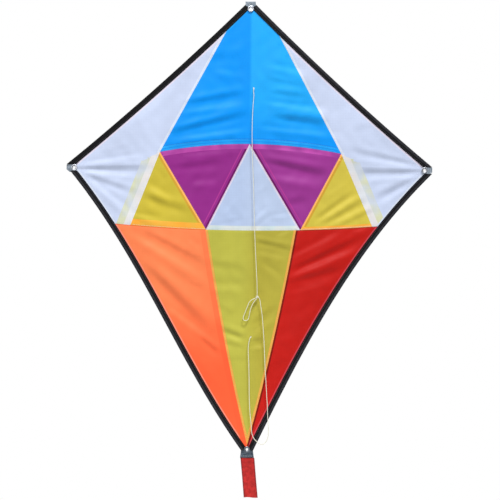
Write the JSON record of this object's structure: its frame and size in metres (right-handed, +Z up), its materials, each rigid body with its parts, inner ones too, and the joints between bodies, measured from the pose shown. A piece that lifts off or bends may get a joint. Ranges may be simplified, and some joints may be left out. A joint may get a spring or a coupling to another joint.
{
  "type": "diamond kite",
  "caption": "Diamond kite with a pieced fabric sail, taped edge, fibreglass spine and cross spar, corner eyelets, a slack bridle and a short ribbon tail.",
  "frame": {"origin": "middle of the nose eyelet, in the sail's middle plane, where the kite hangs", "axes": "+Z up the spine to the nose, +X to the right seen from the front, +Y to the back, where the rods are"},
  "size_m": [0.706, 0.0168, 0.9573],
  "materials": {
    "ripstop_blue": "satin",
    "ripstop_white": "satin",
    "ripstop_magenta": "satin",
    "ripstop_yellow": "satin",
    "ripstop_lime": "satin",
    "ripstop_orange": "satin",
    "ripstop_red": "satin",
    "binding_tape": "matte",
    "tab_webbing": "satin",
    "eyelet_metal": "polished",
    "fibreglass": "satin",
    "vinyl": "satin",
    "bridle_cord": "matte",
    "ribbon_red": "satin"
  },
  "bodies": {
    "spine": {"spine_rod": "fibreglass", "spine_top_cap": "vinyl", "spine_bottom_cap": "vinyl", "nose_tab": "tab_webbing", "tail_tab": "tab_webbing", "nose_eyelet": "eyelet_metal", "nose_washer": "eyelet_metal", "tail_eyelet": "eyelet_metal", "tail_washer": "eyelet_metal", "centre_hub": "vinyl", "upper_bridle_tie": "bridle_cord", "lower_bridle_tie": "bridle_cord", "bridle_upper_leg": "bridle_cord", "bridle_lower_leg": "bridle_cord", "tow_loop": "bridle_cord", "tow_knot": "bridle_cord"},
    "left_wing": {"left_blue_panel": "ripstop_blue", "left_white_panel": "ripstop_white", "left_magenta_panel": "ripstop_magenta", "left_yellow_panel": "ripstop_yellow", "left_centre_white_panel": "ripstop_white", "left_lower_centre_panel": "ripstop_lime", "left_upper_binding": "binding_tape", "left_lower_binding": "binding_tape", "left_tip_tab": "tab_webbing", "left_tip_eyelet": "eyelet_metal", "left_tip_washer": "eyelet_metal", "left_spar": "fibreglass", "left_spar_cap": "vinyl", "left_spar_socket": "vinyl", "left_orange_panel": "ripstop_orange"},
    "right_wing": {"right_blue_panel": "ripstop_blue", "right_white_panel": "ripstop_white", "right_magenta_panel": "ripstop_magenta", "right_yellow_panel": "ripstop_yellow", "right_centre_white_panel": "ripstop_white", "right_lower_centre_panel": "ripstop_lime", "right_upper_binding": "binding_tape", "right_lower_binding": "binding_tape", "right_tip_tab": "tab_webbing", "right_tip_eyelet": "eyelet_metal", "right_tip_washer": "eyelet_metal", "right_spar": "fibreglass", "right_spar_cap": "vinyl", "right_spar_socket": "vinyl", "right_red_panel": "ripstop_red"},
    "tail": {"tail_ribbon": "ribbon_red"}
  },
  "joints": [
    {"name": "left_wing_flex", "type": "hinge", "parent": "spine", "child": "left_wing", "pos_m": [0, 0, -0.309], "axis": [0, 0, -1], "range_deg": [0, 18], "stiffness_Nm_per_rad": 2.6},
    {"name": "right_wing_flex", "type": "hinge", "parent": "spine", "child": "right_wing", "pos_m": [0, 0, -0.309], "axis": [0, 0, 1], "range_deg": [0, 18], "stiffness_Nm_per_rad": 2.6},
    {"name": "tail_swing", "type": "hinge", "parent": "spine", "child": "tail", "pos_m": [0.001, 0, -0.8673], "axis": [1, 0, 0], "range_deg": [-85, 85]}
  ]
}
